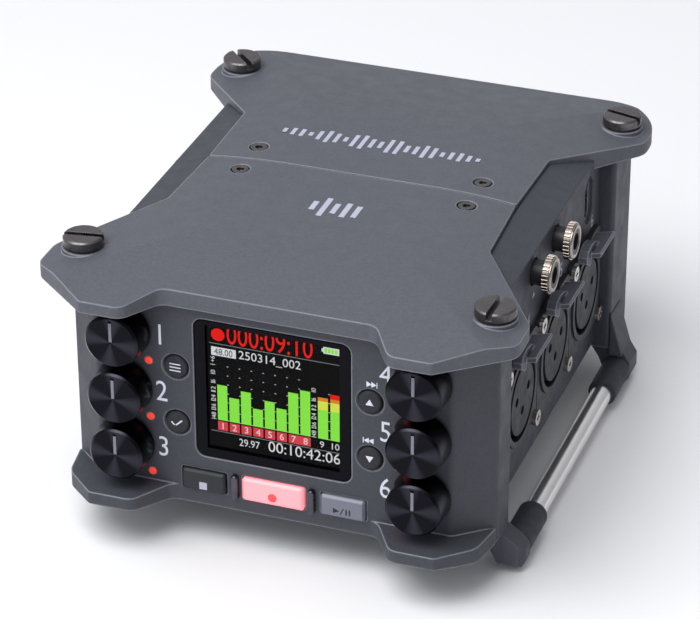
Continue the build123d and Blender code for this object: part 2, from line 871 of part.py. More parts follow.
with BuildPart() as jack_collars:
    with BuildSketch(side_plane(1, side_x + collar_start)):
        with Locations((jack_front, jack_z), (jack_rear, jack_z)):
            Circle(4.0)
            with PolarLocations(4.05, 30):
                Circle(0.22, mode=Mode.SUBTRACT)
    extrude(amount=1.3)
    with BuildSketch(side_plane(1, side_x + collar_start + 1.3)):
        with Locations((jack_front, jack_z), (jack_rear, jack_z)):
            Circle(3.7)
    extrude(amount=0.5)
    with BuildSketch(side_plane(1, side_x + collar_start)):
        with Locations((jack_front, jack_z), (jack_rear, jack_z)):
            Circle(2.6)
    extrude(amount=1.8, mode=Mode.SUBTRACT)
    chamfer(jack_collars.faces().filter_by(Axis.X).group_by(Axis.X)[-1].edges(), length=0.25)
save(jack_collars, "jack_collars")

with BuildPart() as headphone_jack:
    with BuildSketch(side_plane(-1, side_x - side_wall)):
        with Locations((-jack_rear, jack_z - 0.6)):
            Rectangle(7.0, 5.2)
    extrude(amount=-11.5)
    with BuildSketch(side_plane(-1, side_x - side_wall)):
        with Locations((-jack_rear, jack_z)):
            Circle(2.7)
    extrude(amount=side_wall)
    with BuildSketch(side_plane(-1, side_x)):
        with Locations((-jack_rear, jack_z)):
            Circle(3.7)
    extrude(amount=0.7)
    with BuildSketch(side_plane(-1, side_x + 0.7)):
        with Locations((-jack_rear, jack_z)):
            Circle(jack_bore_r)
    extrude(amount=-jack_length, mode=Mode.SUBTRACT)
save(headphone_jack, "headphone_jack")

with BuildPart() as phones_knob:
    with BuildSketch(side_plane(-1, side_x + 0.4)):
        with Locations((-jack_front, phones_z)):
            Circle(4.2)
            with PolarLocations(4.3, 24):
                Circle(0.3, mode=Mode.SUBTRACT)
    extrude(amount=phones_reach - 0.4)
    with BuildSketch(side_plane(-1, side_x + 0.4)):
        with Locations((-jack_front, phones_z)):
            Circle(spindle_r)
    extrude(amount=-6.0)
    with BuildSketch(side_plane(-1, side_x + phones_reach)):
        with Locations((-jack_front, phones_z + 2.3)):
            Rectangle(0.6, 3.0)
    extrude(amount=-0.3, mode=Mode.SUBTRACT)
save(phones_knob, "phones_knob")

with BuildPart() as usb_port:
    with BuildSketch(side_plane(1, side_x - 0.6)):
        with Locations((usb_y, usb_z)):
            RectangleRounded(3.3, 9.0, 1.6)
            RectangleRounded(2.6, 8.3, 1.25, mode=Mode.SUBTRACT)
    extrude(amount=-6.0)
    with BuildSketch(side_plane(1, side_x - 1.0)):
        with Locations((usb_y, usb_z)):
            Rectangle(0.7, 6.6)
    extrude(amount=-5.6)
    with BuildSketch(side_plane(1, side_x - 6.6)):
        with Locations((usb_y, usb_z)):
            RectangleRounded(3.3, 9.0, 1.6)
    extrude(amount=-1.0)
save(usb_port, "usb_port")

with BuildPart() as power_slider:
    with BuildSketch(side_plane(-1, side_x + 0.15)):
        with Locations((-slider_y + 2.3, slider_z)):
            RectangleRounded(4.6, 4.0, 0.5)
    extrude(amount=1.3)
    with BuildSketch(side_plane(-1, side_x + 0.15)):
        with Locations((-slider_y + 2.3, slider_z)):
            Rectangle(3.0, 2.2)
    extrude(amount=-3.0)
    with BuildSketch(side_plane(-1, side_x + 1.45)):
        with Locations((-slider_y + 1.3, slider_z), (-slider_y + 2.3, slider_z), (-slider_y + 3.3, slider_z)):
            Rectangle(0.4, 4.2)
    extrude(amount=-0.4, mode=Mode.SUBTRACT)
save(power_slider, "power_slider")

hinge_x = side_x + 1.0
hinge_z = 11.2
with BuildPart() as card_cover:
    with BuildSketch(side_plane(-1, side_x + 0.1)):
        with Locations((-card_y, (hinge_z + 20.4) / 2)):
            RectangleRounded(20.0, 20.4 - hinge_z, 0.8)
    extrude(amount=1.0)
    with BuildSketch(front_plane(card_y - 10.0)):
        with Locations((-hinge_x, hinge_z)):
            Circle(0.9)
    extrude(amount=-20.0)
    with BuildSketch(side_plane(-1, side_x + 1.1)):
        with Locations((-card_y, 18.6)):
            Rectangle(6.0, 0.7)
    extrude(amount=0.4)
save(card_cover, "card_cover")


# ---------------------------------------------------------------- batteries
cell_places = [(side * cell_offset, tray_mid + row * cell_offset) for side in (-1, 1) for row in (-1, 1)]
with BuildPart() as battery_tray:
    with BuildSketch(front_plane(tray_front)):
        with Locations((0, tray_mid)):
            RectangleRounded(tray_w, tray_h, 1.0)
    extrude(amount=-(body_depth - tray_front - 0.1))
    for x, z in cell_places:
        with BuildSketch(front_plane(tray_front + 1.8)):
            with Locations((x, z)):
                Circle(cell_r + 0.2)
            with Locations((x + (cell_r + 3.0) * (1 if x > 0 else -1), z)):
                Rectangle(2 * (cell_r + 3.0) - 6.0, 2 * cell_r - 1.0)
        extrude(amount=-cell_length - 0.6, mode=Mode.SUBTRACT)
    with BuildSketch(front_plane(body_depth - 0.1)):
        with Locations((0, tray_mid + 9.0)):
            RectangleRounded(14.0, 3.0, 1.2)
    extrude(amount=-1.1)
save(battery_tray, "battery_tray")

with BuildPart() as battery_cells:
    with BuildSketch(front_plane(tray_front + 2.1)):
        with Locations(*cell_places):
            Circle(cell_r)
    extrude(amount=-cell_length + 1.0)
    with BuildSketch(front_plane(tray_front + 1.1 + cell_length)):
        with Locations(*cell_places):
            Circle(2.7)
    extrude(amount=-1.0)
save(battery_cells, "battery_cells")

with BuildPart() as battery_shoe:
    with BuildSketch(Plane(origin=(-31.0, front_y, row_z), x_dir=(0, 1, 0), z_dir=(1, 0, 0))):
        with BuildLine():
            Polyline(
                (body_depth, 15.0),
                (body_depth + rear_lip, 15.0),
                (body_depth + rear_lip, 11.6),
                (body_depth + 1.2, 11.6),
                (body_depth + 1.2, 12.8),
                (body_depth, 12.8),
                close=True,
            )
        make_face()
        with BuildLine():
            Polyline(
                (body_depth, -24.8),
                (body_depth + rear_lip, -24.8),
                (body_depth + rear_lip, -22.0),
                (body_depth + 1.2, -22.0),
                (body_depth + 1.2, -23.0),
                (body_depth, -23.0),
                close=True,
            )
        make_face()
    extrude(amount=62.0)
    with BuildSketch(front_plane(body_depth)):
        with Locations((25.5, -6.0)):
            Rectangle(6.0, 12.0)
    extrude(amount=-1.2)
    with BuildSketch(front_plane(body_depth + 1.2)):
        with Locations((25.5, -9.6), (25.5, -6.0), (25.5, -2.4)):
            Rectangle(4.4, 1.0)
    extrude(amount=0.8, mode=Mode.SUBTRACT)
save(battery_shoe, "battery_shoe")


# ---------------------------------------------------------------- strap rods
def front_bracket_outline(side):
    return [
        (side * 44.3, base),
        (side * 48.2, -27.8),
        (side * 49.5, -29.4),
        (side * 49.5, -32.2),
        (side * 47.8, rest_z),
        (side * 45.0, rest_z),
        (side * 42.6, -30.0),
        (side * 40.2, base),
    ]


def rear_bracket_outline(side):
    return [
        (side * 45.05, -16.5),
        (side * 47.9, -26.3),
        (side * 49.5, -28.8),
        (side * 49.5, -32.2),
        (side * 47.8, rest_z),
        (side * 45.0, rest_z),
        (side * 42.3, -28.2),
        (side * 40.2, base),
        (side * 45.05, base),
    ]


front_bracket_rounds = [0.5, 0.8, 0.8, 1.2, 0.8, 0.8, 1.5, 0.03]
rear_bracket_rounds = [0.03, 1.5, 1.0, 1.2, 0.8, 0.8, 1.5, 0.03, 0.03]

with BuildPart() as rod_brackets:
    for side in (-1, 1):
        with BuildSketch(front_plane(bracket_front)):
            with BuildLine():
                FilletPolyline(front_bracket_outline(side), radius=front_bracket_rounds, close=True)
            make_face()
        extrude(amount=-(sleeve_front - bracket_front - 0.2))
        with BuildSketch(front_plane(bracket_rear)):
            with BuildLine():
                FilletPolyline(rear_bracket_outline(side), radius=rear_bracket_rounds, close=True)
            make_face()
        extrude(amount=-bracket_rear_t)
        with BuildSketch(front_plane(pillar_rear)):
            with BuildLine():
                Polyline(
                    (side * 45.05, -16.5),
                    (side * 47.8, -26.0),
                    (side * 47.8, -26.8),
                    (side * 45.05, -26.8),
                    close=True,
                )
            make_face()
        extrude(amount=-(bracket_rear - pillar_rear + 1))
        with BuildSketch(side_plane(side, 55.0)):
            with BuildLine():
                Polyline(
                    (side * (bracket_front - 1), rest_z + 2.1),
                    (side * bracket_front, rest_z + 2.1),
                    (side * (bracket_front + 3.2), rest_z),
                    (side * (bracket_front + 3.2), rest_z - 1),
                    (side * (bracket_front - 1), rest_z - 1),
                    close=True,
                )
            make_face()
        extrude(amount=-20, mode=Mode.SUBTRACT)
        with BuildSketch(level_plane(rest_z - 1)):
            with BuildLine():
                Polyline(
                    (side * 48.2, bracket_front),
                    (side * 50.2, bracket_front + 2.8),
                    (side * 55.0, bracket_front + 2.8),
                    (side * 55.0, bracket_front - 1),
                    (side * 48.2, bracket_front - 1),
                    close=True,
                )
            make_face()
        extrude(amount=12, mode=Mode.SUBTRACT)
        with BuildSketch(front_plane(rod_start)):
            with Locations((side * rod_x, rod_z)):
                Circle(rod_r)
        extrude(amount=-(rod_end - rod_start), mode=Mode.SUBTRACT)
save(rod_brackets, "rod_brackets")

with BuildPart() as strap_rods:
    with BuildSketch(front_plane(rod_start)):
        with Locations((-rod_x, rod_z), (rod_x, rod_z)):
            Circle(rod_r)
    extrude(amount=-(rod_end - rod_start))
save(strap_rods, "strap_rods")

with BuildPart() as rod_sleeves:
    for start in (sleeve_front, sleeve_rear):
        with BuildSketch(front_plane(start)):
            with Locations((-rod_x, rod_z), (rod_x, rod_z)):
                Circle(sleeve_r)
                Circle(rod_r, mode=Mode.SUBTRACT)
        extrude(amount=-sleeve_length)
    outer_rims = rod_sleeves.edges().filter_by(GeomType.CIRCLE).filter_by(lambda rim: rim.radius > rod_r + 0.1)
    fillet(outer_rims, radius=0.5)
save(rod_sleeves, "rod_sleeves")
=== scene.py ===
import json
import math

import bmesh
import bpy
from mathutils import Matrix, Vector


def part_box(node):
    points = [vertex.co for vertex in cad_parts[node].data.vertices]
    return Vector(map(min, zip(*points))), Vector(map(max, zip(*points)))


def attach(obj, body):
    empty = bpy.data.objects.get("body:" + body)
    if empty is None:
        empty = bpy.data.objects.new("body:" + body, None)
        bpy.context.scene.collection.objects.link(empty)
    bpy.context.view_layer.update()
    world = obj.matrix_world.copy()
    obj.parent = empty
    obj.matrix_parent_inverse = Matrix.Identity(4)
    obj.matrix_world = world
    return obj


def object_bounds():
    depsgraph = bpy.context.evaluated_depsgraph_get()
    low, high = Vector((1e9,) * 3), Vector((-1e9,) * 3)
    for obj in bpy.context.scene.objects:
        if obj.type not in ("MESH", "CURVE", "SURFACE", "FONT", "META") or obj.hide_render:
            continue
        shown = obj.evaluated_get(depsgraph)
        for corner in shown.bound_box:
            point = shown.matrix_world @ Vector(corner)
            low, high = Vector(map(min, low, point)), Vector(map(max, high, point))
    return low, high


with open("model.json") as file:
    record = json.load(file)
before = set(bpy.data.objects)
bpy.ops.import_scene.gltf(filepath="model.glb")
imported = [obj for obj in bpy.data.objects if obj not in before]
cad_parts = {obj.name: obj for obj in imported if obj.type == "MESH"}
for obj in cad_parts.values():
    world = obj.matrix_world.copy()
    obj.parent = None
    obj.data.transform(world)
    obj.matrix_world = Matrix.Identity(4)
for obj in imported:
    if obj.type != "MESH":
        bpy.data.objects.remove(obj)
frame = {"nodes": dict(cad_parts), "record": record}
cad_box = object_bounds()

MM = 0.001
LIFT = 0.03  # prints stand this far off the surface they are on, mm

# ---------------------------------------------------------------- places taken from the frame
window_sunk = 0.1  # the display window stands this far behind the panel, mm
panel_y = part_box("display_window")[0].y - window_sunk * MM
row_z = (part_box("knob_2")[0].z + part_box("knob_2")[1].z) / 2
side_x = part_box("side_panel_right")[1].x
crown_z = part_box("top_cover_front")[1].z
module_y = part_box("display_module")[0].y
knob_x = (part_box("knob_4")[0].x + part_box("knob_4")[1].x) / 2
knob_pitch = 13.0  # from one knob to the next in a column, mm


def middle(node):
    low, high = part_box(node)
    return (low + high) / 2


def facing_front(x, z, y=panel_y):
    """A place on a face that looks at the user, with x and z in mm from the middle of the knob rows."""
    turn = Matrix(((1, 0, 0), (0, 0, -1), (0, 1, 0))).to_4x4()
    return Matrix.Translation((x * MM, y, row_z + z * MM)) @ turn


def facing_side(side, y, z, x=side_x):
    """A place on the right (+1) or left (-1) side, with y and z in metres."""
    turn = Matrix(((0, 0, side), (side, 0, 0), (0, 1, 0))).to_4x4()
    return Matrix.Translation((side * x, y, z)) @ turn


def facing_up(x, y):
    """A place on the flat of the covers, with x in mm and y in metres."""
    return Matrix.Translation((x * MM, y, crown_z))


# ---------------------------------------------------------------- materials
# Sockets of a colour Mix node, whose names repeat
MIX_FACTOR, MIX_A, MIX_B, MIX_RESULT = 0, 6, 7, 2


def linear(red, green, blue):
    """An 8-bit screen colour as the linear colour that a shader takes."""
    return tuple(((v / 255 + 0.055) / 1.055) ** 2.4 if v > 10 else v / 3294.6 for v in (red, green, blue))


def shade(colour, factor):
    return tuple(min(1.0, v * factor) for v in colour) + (1.0,)


class Surface:
    """A material with one Principled shader and the patterns that the finishes share."""

    def __init__(self, name, colour, roughness, metallic=0.0):
        self.material = bpy.data.materials.new(name)
        self.material.use_nodes = True
        self.tree = self.material.node_tree
        self.shader = self.tree.nodes["Principled BSDF"]
        self.colour = colour
        self.set("Base Color", shade(colour, 1.0))
        self.set("Roughness", roughness)
        self.set("Metallic", metallic)
        self.place = self.add("ShaderNodeTexCoord").outputs["Object"]

    def set(self, socket, value):
        self.shader.inputs[socket].default_value = value
        return self

    def add(self, kind, inputs=None, **settings):
        node = self.tree.nodes.new(kind)
        for key, value in settings.items():
            setattr(node, key, value)
        for key, value in (inputs or {}).items():
            if isinstance(value, bpy.types.NodeSocket):
                self.tree.links.new(value, node.inputs[key])
            else:
                node.inputs[key].default_value = value
        return node

    def into(self, output, socket):
        self.tree.links.new(output, self.shader.inputs[socket])
        return self

    def noise(self, scale, detail=3.0, stretch=(1, 1, 1)):
        scaled = self.add("ShaderNodeMapping", {"Vector": self.place, "Scale": stretch}).outputs["Vector"]
        inputs = {"Vector": scaled, "Scale": scale, "Detail": detail}
        return self.add("ShaderNodeTexNoise", inputs).outputs["Fac"]

    def mottled(self, scale, spread, detail=3.0):
        """The colour drifts a little lighter and darker."""
        mix = self.add(
            "ShaderNodeMix",
            {
                MIX_FACTOR: self.noise(scale, detail),
                MIX_A: shade(self.colour, 1 - spread),
                MIX_B: shade(self.colour, 1 + spread),
            },
            data_type="RGBA",
        )
        self.colour_out = mix.outputs[MIX_RESULT]
        return self.into(self.colour_out, "Base Color")

    def uneven(self, scale, low, high, stretch=(1, 1, 1)):
        """The gloss varies between two roughness values."""
        spread = self.add(
            "ShaderNodeMapRange",
            {
                "Value": self.noise(scale, 2.0, stretch),
                "From Min": 0.3,
                "From Max": 0.7,
                "To Min": low,
                "To Max": high,
            },
        )
        return self.into(spread.outputs["Result"], "Roughness")

    def rounded(self, radius_mm):
        """Edges catch the light as if they were slightly rounded."""
        self.soft = self.add("ShaderNodeBevel", {"Radius": radius_mm * MM}, samples=6).outputs["Normal"]
        return self.into(self.soft, "Normal")

    def worn(self, lighter, strength):
        """Painted highlight: the colour is lightened along the edges that rounded() finds, as if they caught
        the light.
        """
        true_normal = self.add("ShaderNodeNewGeometry").outputs["Normal"]
        bend = self.add(
            "ShaderNodeVectorMath", {0: self.soft, 1: true_normal}, operation="DOT_PRODUCT"
        ).outputs["Value"]
        edge = self.add(
            "ShaderNodeMapRange",
            {"Value": bend, "From Min": 0.995, "From Max": 0.86, "To Min": 0.0, "To Max": strength},
        ).outputs["Result"]
        inputs = {MIX_FACTOR: edge, MIX_A: self.colour_out, MIX_B: shade(lighter, 1.0)}
        mix = self.add("ShaderNodeMix", inputs, data_type="RGBA")
        return self.into(mix.outputs[MIX_RESULT], "Base Color")

    def grained(self, scale, height_mm, stretch=(1, 1, 1), detail=2.0):
        """A fine relief over the whole surface."""
        inputs = {"Height": self.noise(scale, detail, stretch), "Distance": height_mm * MM, "Strength": 1.0}
        if hasattr(self, "soft"):
            inputs["Normal"] = self.soft
        return self.into(self.add("ShaderNodeBump", inputs).outputs["Normal"], "Normal")

    def glowing(self, strength, pitch_mm=0.12):
        """Lit from behind, through a display's fine grid of cells."""
        upright = self.add("ShaderNodeMapping", {"Vector": self.place, "Rotation": (math.pi / 2, 0, 0)})
        cells = self.add(
            "ShaderNodeTexBrick",
            {
                "Vector": upright.outputs["Vector"],
                "Color1": shade(self.colour, 1.0),
                "Color2": shade(self.colour, 0.96),
                "Mortar": shade(self.colour, 0.62),
                "Scale": 1.0,
                "Mortar Size": 0.1 * pitch_mm * MM,
                "Brick Width": pitch_mm * MM,
                "Row Height": pitch_mm * MM,
            },
            offset=0.0,
        )
        self.set("Emission Strength", strength)
        self.set("Base Color", (0.0, 0.0, 0.0, 1.0))
        self.set("Specular IOR Level", 0.0)
        return self.into(cells.outputs["Color"], "Emission Color")


def paint(name, colour, edge_highlight=0.0):
    """Fine powder coat on cast or pressed metal."""
    made = Surface(name, colour, 0.5).set("Specular IOR Level", 0.25)
    made.mottled(1500, 0.22, 5.0).rounded(0.55)
    # Lighter edges here are a painted highlight along the rims and corners.
    if edge_highlight:
        made.worn(linear(176, 180, 190), edge_highlight)
    return made.uneven(260, 0.44, 0.58).grained(2400, 0.06, detail=4.0)


def plastic(name, colour, roughness=0.45, edge=0.15):
    return (
        Surface(name, colour, roughness)
        .set("Specular IOR Level", 0.3)
        .mottled(140, 0.10)
        .rounded(edge)
        .uneven(400, roughness - 0.06, roughness + 0.08)
        .grained(5200, 0.006)
    )


def rubber(name, colour):
    made = Surface(name, colour, 0.7).mottled(220, 0.14).rounded(0.2)
    return made.uneven(500, 0.6, 0.8).grained(4200, 0.012)


def turned_metal(name, colour, roughness, edge=0.2):
    """Plated or blackened metal with turning marks and stains."""
    return (
        Surface(name, colour, roughness, 1.0)
        .mottled(420, 0.22)
        .rounded(edge)
        .uneven(900, roughness * 0.7, roughness * 1.4)
        .grained(2600, 0.008, detail=4.0)
    )


def spun_black(name):
    """Black anodised knob with a spun, anisotropic face, plus a painted highlight: the base colour is
    lighter in fans around the middle and darker between them.
    """
    made = Surface(name, linear(36, 36, 42), 0.24, 1.0).mottled(500, 0.12).rounded(0.3)
    rays, first_ray = 4.0, 1.1
    made.set("Anisotropic", 0.95)
    tangent = made.add("ShaderNodeTangent", direction_type="RADIAL", axis="Y")
    made.into(tangent.outputs["Tangent"], "Tangent")
    axes = made.add("ShaderNodeSeparateXYZ", {0: made.place}).outputs
    across = made.add("ShaderNodeMath", {0: axes["X"]}, operation="ABSOLUTE").outputs[0]
    from_axis = made.add("ShaderNodeMath", {0: across, 1: knob_x}, operation="SUBTRACT").outputs[0]
    above_row = made.add("ShaderNodeMath", {0: axes["Z"], 1: row_z}, operation="SUBTRACT").outputs[0]
    half_pitch = knob_pitch * MM / 2
    one_pitch = {0: above_row, 1: half_pitch, 2: -half_pitch}
    wrapped = made.add("ShaderNodeMath", one_pitch, operation="WRAP").outputs[0]
    angle = made.add("ShaderNodeMath", {0: wrapped, 1: from_axis}, operation="ARCTAN2").outputs[0]
    # Painted highlight: the base colour is lighter in four fans around each knob's middle and darker between
    # them, fixed to the knob instead of cast by the lamps.
    round_axis = {0: angle, 1: rays, 2: first_ray}
    painted_highlight_turn = made.add("ShaderNodeMath", round_axis, operation="MULTIPLY_ADD").outputs[0]
    painted_highlight_fan = made.add("ShaderNodeMath", {0: painted_highlight_turn}, operation="SINE").outputs[0]
    spread = made.add("ShaderNodeMapRange", {"Value": painted_highlight_fan, "From Min": -0.2, "From Max": 1.0})
    inputs = {
        MIX_FACTOR: spread.outputs["Result"],
        MIX_A: shade(made.colour, 0.55),
        MIX_B: shade(made.colour, 1.8),
    }
    mix = made.add("ShaderNodeMix", inputs, data_type="RGBA")
    return made.into(mix.outputs[MIX_RESULT], "Base Color").grained(3800, 0.004)


def ground_rod(name):
    """Bright ground steel."""
    return Surface(name, linear(236, 234, 234), 0.27, 1.0).mottled(300, 0.04)


def window_glass(name):
    """A clear window inside a printed black border."""
    clear_half_width, clear_low, clear_high = 14.1, -11.5, 16.8
    made = Surface(name, linear(6, 5, 13), 0.08)
    made.set("Specular IOR Level", 0.08)
    made.mottled(60, 0.08)
    axes = made.add("ShaderNodeSeparateXYZ", {0: made.place}).outputs
    half_x = clear_half_width * MM
    low_z, high_z = row_z + clear_low * MM, row_z + clear_high * MM
    across = made.add("ShaderNodeMath", {0: axes["X"]}, operation="ABSOLUTE").outputs[0]
    inside_x = made.add("ShaderNodeMath", {0: across, 1: half_x}, operation="LESS_THAN").outputs[0]
    above = made.add("ShaderNodeMath", {0: axes["Z"], 1: low_z}, operation="GREATER_THAN").outputs[0]
    below = made.add("ShaderNodeMath", {0: axes["Z"], 1: high_z}, operation="LESS_THAN").outputs[0]
    inside_z = made.add("ShaderNodeMath", {0: above, 1: below}, operation="MULTIPLY").outputs[0]
    inside = made.add("ShaderNodeMath", {0: inside_x, 1: inside_z}, operation="MULTIPLY").outputs[0]
    clear = made.add("ShaderNodeMapRange", {"Value": inside, "To Min": 1.0, "To Max": 0.07})
    return made.into(clear.outputs["Result"], "Alpha").grained(120, 0.002)


def circuit_board(name):
    """Solder mask over faint copper traces."""
    made = Surface(name, linear(18, 84, 48), 0.35)
    made.mottled(700, 0.25, 0.0)
    return made.uneven(300, 0.28, 0.45).grained(1500, 0.01)


def lit_plastic(name, colour, glow, strength):
    """Milky plastic with a lamp behind it, glowing a little unevenly."""
    made = Surface(name, colour, 0.32).mottled(240, 0.03).rounded(0.25)
    made.set("Coat Weight", 0.3)
    made.set("Emission Strength", strength)
    inputs = {MIX_FACTOR: made.noise(130, 1.0), MIX_A: shade(glow, 0.93), MIX_B: shade(glow, 1.05)}
    mix = made.add("ShaderNodeMix", inputs, data_type="RGBA")
    return made.into(mix.outputs[MIX_RESULT], "Emission Color").grained(3000, 0.003)


finishes = {
    # The last number of each paint sets the strength of the painted highlight along its edges.
    "cover_paint": paint("cover_paint", linear(86, 88, 96), edge_highlight=0.6),
    "frame_paint": paint("frame_paint", linear(67, 69, 76), edge_highlight=0.65),
    "panel_black": paint("panel_black", linear(62, 64, 72), edge_highlight=0.08),
    "bracket_black": paint("bracket_black", linear(70, 72, 80), edge_highlight=0.12),
    "latch_grey": paint("latch_grey", linear(80, 82, 90), edge_highlight=0.7),
    "screw_gunmetal": turned_metal("screw_gunmetal", linear(104, 101, 102), 0.38),
    "socket_screw_steel": turned_metal("socket_screw_steel", linear(206, 200, 194), 0.20, 0.1),
    "jack_chrome": turned_metal("jack_chrome", linear(150, 140, 132), 0.22, 0.08),
    "control_zinc": turned_metal("control_zinc", linear(180, 180, 184), 0.35),
    "port_steel": turned_metal("port_steel", linear(150, 150, 156), 0.30, 0.1),
    "bush_brass": turned_metal("bush_brass", linear(206, 172, 96), 0.28),
    "rod_steel": ground_rod("rod_steel"),
    "knob_black": spun_black("knob_black"),
    "window_glass": window_glass("window_glass"),
    "display_face": plastic("display_face", linear(20, 20, 22), 0.4),
    "button_rubber": rubber("button_rubber", linear(34, 35, 40)),
    "keypad_rubber": rubber("keypad_rubber", linear(110, 110, 114)),
    "card_rubber": rubber("card_rubber", linear(46, 47, 52)),
    "sleeve_rubber": rubber("sleeve_rubber", linear(48, 50, 57)),
    "stop_black": plastic("stop_black", linear(40, 41, 46), 0.38, 0.4),
    "play_grey": lit_plastic("play_grey", linear(106, 108, 122), linear(120, 122, 140), 0.04),
    "record_lens": lit_plastic("record_lens", linear(250, 140, 145), linear(255, 134, 142), 0.85),
    "guard_black": turned_metal("guard_black", linear(84, 84, 92), 0.32, 0.3),
    "lamp_red": lit_plastic("lamp_red", linear(225, 48, 36), linear(255, 70, 52), 0.6),
    "board_green": circuit_board("board_green"),
    "insert_black": plastic("insert_black", linear(30, 31, 38), 0.5),
    "socket_black": plastic("socket_black", linear(36, 37, 44), 0.46, 0.2),
    "jack_body": plastic("jack_body", linear(34, 34, 38), 0.4),
    "slider_black": plastic("slider_black", linear(40, 41, 45), 0.4, 0.2),
    "tray_plastic": plastic("tray_plastic", linear(46, 47, 52), 0.5, 0.3),
    "cell_wrap": plastic("cell_wrap", linear(66, 70, 82), 0.3),
    "shoe_black": plastic("shoe_black", linear(42, 43, 48), 0.45, 0.2),
}
print_white = plastic("print_white", linear(222, 225, 238), 0.6)
print_grey = plastic("print_grey", linear(176, 179, 196), 0.6)
print_dark = plastic("print_dark", linear(40, 40, 48), 0.6)
pointer_pale = plastic("pointer_pale", linear(122, 125, 133), 0.5)
dot_red = lit_plastic("dot_red", linear(235, 60, 60), linear(240, 50, 52), 0.7)

screen_colours = {
    "back": (24, 24, 24),
    "white": (238, 240, 244),
    "grey": (150, 152, 156),
    "red": (255, 40, 34),
    "box": (236, 78, 88),
    "green": (152, 255, 84),
    "yellow": (238, 250, 90),
    "orange": (236, 150, 52),
}
screen = {}
for name, colour in screen_colours.items():
    screen[name] = Surface(f"screen_{name}", linear(*colour), 0.4).glowing(1.0)
screen["ink"] = plastic("screen_ink", linear(30, 30, 32), 0.5)

for name, node in frame["nodes"].items():
    slot_name = next(part["material_slot"] for part in frame["record"]["subparts"] if part["node"] == name)
    for place in node.material_slots:
        place.material = finishes[slot_name].material


# ---------------------------------------------------------------- flat drawings
def box_outline(x0, z0, x1, z1):
    return [(x0, z0), (x1, z0), (x1, z1), (x0, z1)]


def disc_outline(x, z, radius, sides=32):
    turns = [2 * math.pi * i / sides for i in range(sides)]
    return [(x + radius * math.cos(a), z + radius * math.sin(a)) for a in turns]


def stroke_outlines(points, width):
    """One thin box along each run of a line."""
    outlines = []
    for (xa, za), (xb, zb) in zip(points, points[1:]):
        along = Vector((xb - xa, zb - za)).normalized() * width / 2
        across = Vector((-along.y, along.x))
        a = Vector((xa, za)) - along
        b = Vector((xb, zb)) + along
        outlines.append([tuple(a - across), tuple(b - across), tuple(b + across), tuple(a + across)])
    return outlines


def arc_points(radius, start, end, steps=24):
    angles = [math.radians(start + (end - start) * i / steps) for i in range(steps + 1)]
    return [(radius * math.cos(a), radius * math.sin(a)) for a in angles]


def put(name, mesh, body, surface):
    piece = bpy.data.objects.new(name, mesh)
    bpy.context.collection.objects.link(piece)
    mesh.materials.clear()
    mesh.materials.append(surface.material)
    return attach(piece, body)


def drawing(name, outlines, place, surface, body="case", depth=LIFT):
    """Thin flat shapes, in mm, laid on a face."""
    made = bmesh.new()
    for outline in outlines:
        base = [made.verts.new((x * MM, z * MM, 0)) for x, z in outline]
        top = [made.verts.new((x * MM, z * MM, depth * MM)) for x, z in outline]
        made.faces.new(top)
        made.faces.new(reversed(base))
        for i in range(len(base)):
            j = (i + 1) % len(base)
            made.faces.new((base[i], base[j], top[j], top[i]))
    bmesh.ops.recalc_face_normals(made, faces=made.faces)
    mesh = bpy.data.meshes.new(name)
    made.to_mesh(mesh)
    made.free()
    mesh.transform(place)
    return put(name, mesh, body, surface)


def numerals(
    name, text, height, place, surface, body="case", width=None, turned=0.0, depth=LIFT, narrow=1.0
):
    """Plain numbers, centred, with a cap height (and a width, if given) in mm."""
    curve = bpy.data.curves.new(name, "FONT")
    curve.body = text
    curve.resolution_u = 4
    holder = bpy.data.objects.new(name + "_curve", curve)
    bpy.context.collection.objects.link(holder)
    bpy.context.view_layer.update()
    mesh = bpy.data.meshes.new_from_object(holder.evaluated_get(bpy.context.evaluated_depsgraph_get()))
    bpy.data.objects.remove(holder)
    xs = [v.co.x for v in mesh.vertices]
    zs = [v.co.y for v in mesh.vertices]
    tall = height * MM / (max(zs) - min(zs))
    wide = tall * narrow if width is None else width * MM / (max(xs) - min(xs))
    centre = Matrix.Translation((-(max(xs) + min(xs)) / 2, -(max(zs) + min(zs)) / 2, 0))
    size = Matrix.Diagonal((wide, tall, 1, 1))
    raised = Matrix.Translation((0, 0, depth * MM))
    mesh.transform(place @ raised @ Matrix.Rotation(turned, 4, "Z") @ size @ centre)
    mesh.name = name
    return put(name, mesh, body, surface)


# ---------------------------------------------------------------- knobs and their numbers
number_height = 4.6
number_x = 23.7
for index in range(6):
    side = -1 if index < 3 else 1
    row = (1, 0, -1)[index % 3]
    knob = f"knob_{index + 1}"
    face_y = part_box(knob)[0].y
    beside = facing_front(side * number_x, row * knob_pitch - 0.1)
    numerals(f"number_{index + 1}", str(index + 1), number_height, beside, print_white, narrow=0.82)
    pointer = [box_outline(-0.32, 0.2, 0.32, 4.4)]
    x = middle(knob).x / MM
    drawing(f"pointer_{index + 1}", pointer, facing_front(x, row * knob_pitch, face_y), pointer_pale, knob)

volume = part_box("phones_knob")
volume_place = facing_side(-1, middle("phones_knob").y, middle("phones_knob").z, -volume[0].x)
drawing("phones_pointer", [box_outline(-0.3, 1.2, 0.3, 3.4)], volume_place, pointer_pale, "phones_knob")


# ---------------------------------------------------------------- signs on and around the buttons
def on_button(node, raised=0.0):
    """The middle of a button's face, or a place raised from it by that many mm."""
    spot = middle(node)
    return facing_front(spot.x / MM, (spot.z - row_z) / MM + raised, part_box(node)[0].y)


def skip_sign(direction):
    """Two triangles and a bar."""
    half_height, half_bar = 0.65, 0.1
    shapes = []
    for start in (0.0, 1.0):
        foot, tip = direction * (start - 0.75), direction * (start + 0.35)
        shapes.append([(foot, half_height), (tip, 0.0), (foot, -half_height)])
    bar = direction * 1.42
    return shapes + [box_outline(bar - half_bar, -half_height, bar + half_bar, half_height)]


